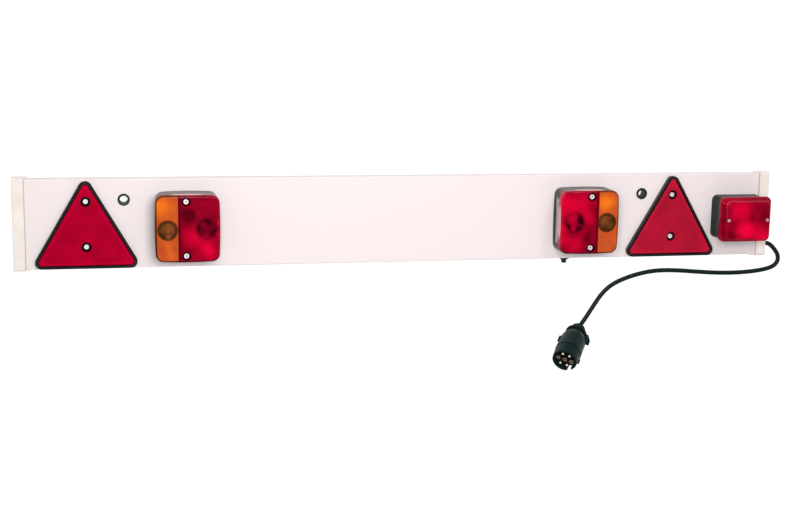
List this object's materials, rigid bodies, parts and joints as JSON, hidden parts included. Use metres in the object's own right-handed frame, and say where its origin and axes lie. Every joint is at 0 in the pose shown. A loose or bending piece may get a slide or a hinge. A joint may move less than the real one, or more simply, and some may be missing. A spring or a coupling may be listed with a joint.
{
  "type": "trailer lighting board",
  "caption": "White channel lighting board for a trailer, with end caps, red and amber rear lamps, a fog lamp, reflex triangles, rubber grommets and a trailing cable with a multi-pin plug.",
  "frame": {"origin": "centre of the board on the surface under it, with the board lying on its back", "axes": "+X along the board towards the fog lamp, +Y up its face, +Z out of its face"},
  "size_m": [1.2625, 0.3172, 0.0907],
  "materials": {
    "board_white": "satin off-white extrusion",
    "cap_white": "satin cream-white moulding",
    "tray_black": "satin black moulding",
    "reflector_red": "glossy prismatic red",
    "zinc_screw": "zinc plated",
    "zinc_steel": "zinc plated",
    "lens_screw": "zinc plated",
    "grommet_rubber": "matt black",
    "clip_black": "matt black",
    "cable_clip_white": "plain moulding",
    "lamp_black": "satin black moulding",
    "gasket_foam": "closed-cell foam",
    "tray_silver": "vacuum metallised",
    "lens_red": "clear red acrylic",
    "lens_amber": "clear amber acrylic",
    "fog_red": "clear red acrylic",
    "bulb_glass": "clear bulb",
    "holder_white": "plain moulding",
    "window_clear": "clear acrylic",
    "cable_black": "black sheath",
    "plug_black": "black moulding",
    "carrier_black": "black moulding",
    "pin_brass": "turned brass"
  },
  "bodies": {
    "root": {"board": "board_white", "bulb_holders_left": "holder_white", "bulb_holders_right": "holder_white", "bulbs_left": "bulb_glass", "bulbs_right": "bulb_glass", "cable": "cable_black", "cable_clips": "cable_clip_white", "end_cap_left": "cap_white", "end_cap_right": "cap_white", "exit_grommet": "grommet_rubber", "fog_base": "lamp_black", "fog_bulb": "bulb_glass", "fog_bulb_holder": "holder_white", "fog_gasket": "gasket_foam", "fog_lens": "fog_red", "fog_lens_screws": "lens_screw", "fog_reflector": "tray_silver", "gland_nut": "plug_black", "grommet_left": "grommet_rubber", "grommet_right": "grommet_rubber", "harness_fog": "cable_black", "harness_link": "cable_black", "harness_main": "cable_black", "hollow_pins": "pin_brass", "lamp_base_left": "lamp_black", "lamp_base_right": "lamp_black", "lamp_bolts": "zinc_steel", "lamp_gasket_left": "gasket_foam", "lamp_gasket_right": "gasket_foam", "lamp_lens_amber_left": "lens_amber", "lamp_lens_amber_right": "lens_amber", "lamp_lens_red_left": "lens_red", "lamp_lens_red_right": "lens_red", "lamp_nuts": "zinc_steel", "lamp_reflector_left": "tray_silver", "lamp_reflector_right": "tray_silver", "lens_screws_left": "lens_screw", "lens_screws_right": "lens_screw", "number_plate_window": "window_clear", "pin_carrier": "carrier_black", "plug_shell": "plug_black", "solid_pins": "pin_brass", "stow_clip": "clip_black", "triangle_nuts": "zinc_steel", "triangle_reflector_left": "reflector_red", "triangle_reflector_right": "reflector_red", "triangle_screws": "zinc_screw", "triangle_tray_left": "tray_black", "triangle_tray_right": "tray_black"}
  },
  "joints": []
}
